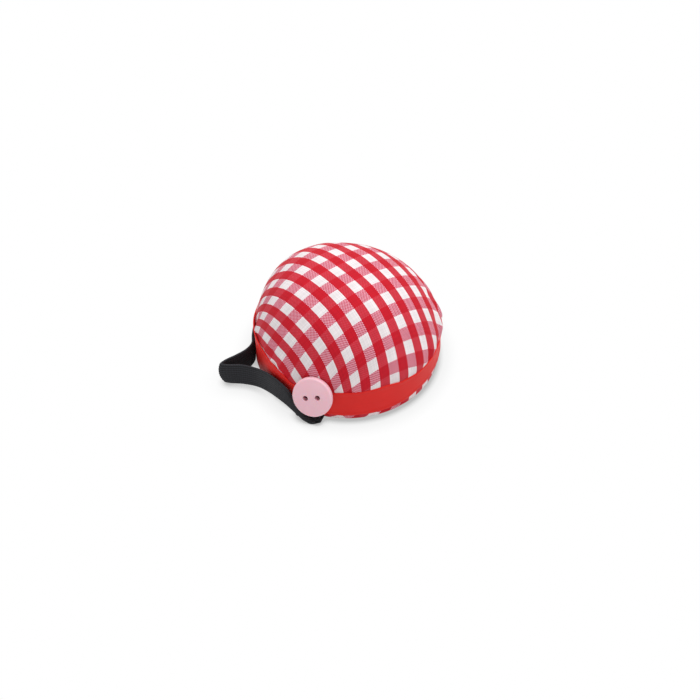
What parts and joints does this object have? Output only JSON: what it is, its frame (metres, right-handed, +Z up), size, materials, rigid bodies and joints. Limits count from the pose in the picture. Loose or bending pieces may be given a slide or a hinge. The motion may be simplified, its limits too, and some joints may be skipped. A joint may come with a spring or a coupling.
{
  "type": "wrist pincushion",
  "caption": "Domed gingham wrist pincushion: stuffed cloth dome in a covered cup, ribbon round the rim, front button and an elastic wrist strap that swings under the base.",
  "frame": {"origin": "middle of the flat underside, on the axis of the round cup", "axes": "+Z up along the axis of the cup, -Y towards the front where the button is, +X to the right seen from the front"},
  "size_m": [0.0824, 0.078, 0.0451],
  "materials": {
    "gingham": "woven cotton, red and white gingham check",
    "ribbon": "red satin ribbon",
    "button": "pink, satin gloss",
    "elastic": "black ribbed elastic",
    "cup": "white moulded",
    "filling": "white polyester fibre",
    "thread": "red sewing thread",
    "glue": "set hot-melt glue"
  },
  "bodies": {
    "cushion": {"base_cup": "cup", "base_cover": "gingham", "rim_ribbon": "ribbon", "dome_cover": "gingham", "fibre_filling": "filling", "gather_thread": "thread", "dome_glue": "glue", "button": "button", "button_glue": "glue", "strap_end_front": "elastic", "strap_end_rear": "elastic"},
    "strap": {"wrist_strap": "elastic"}
  },
  "joints": [
    {"name": "strap_swing", "type": "hinge", "parent": "cushion", "child": "strap", "pos_m": [0, 0, 0.0014], "axis": [-0.4067, -0.9135, 0], "range_deg": [0, 180]}
  ]
}
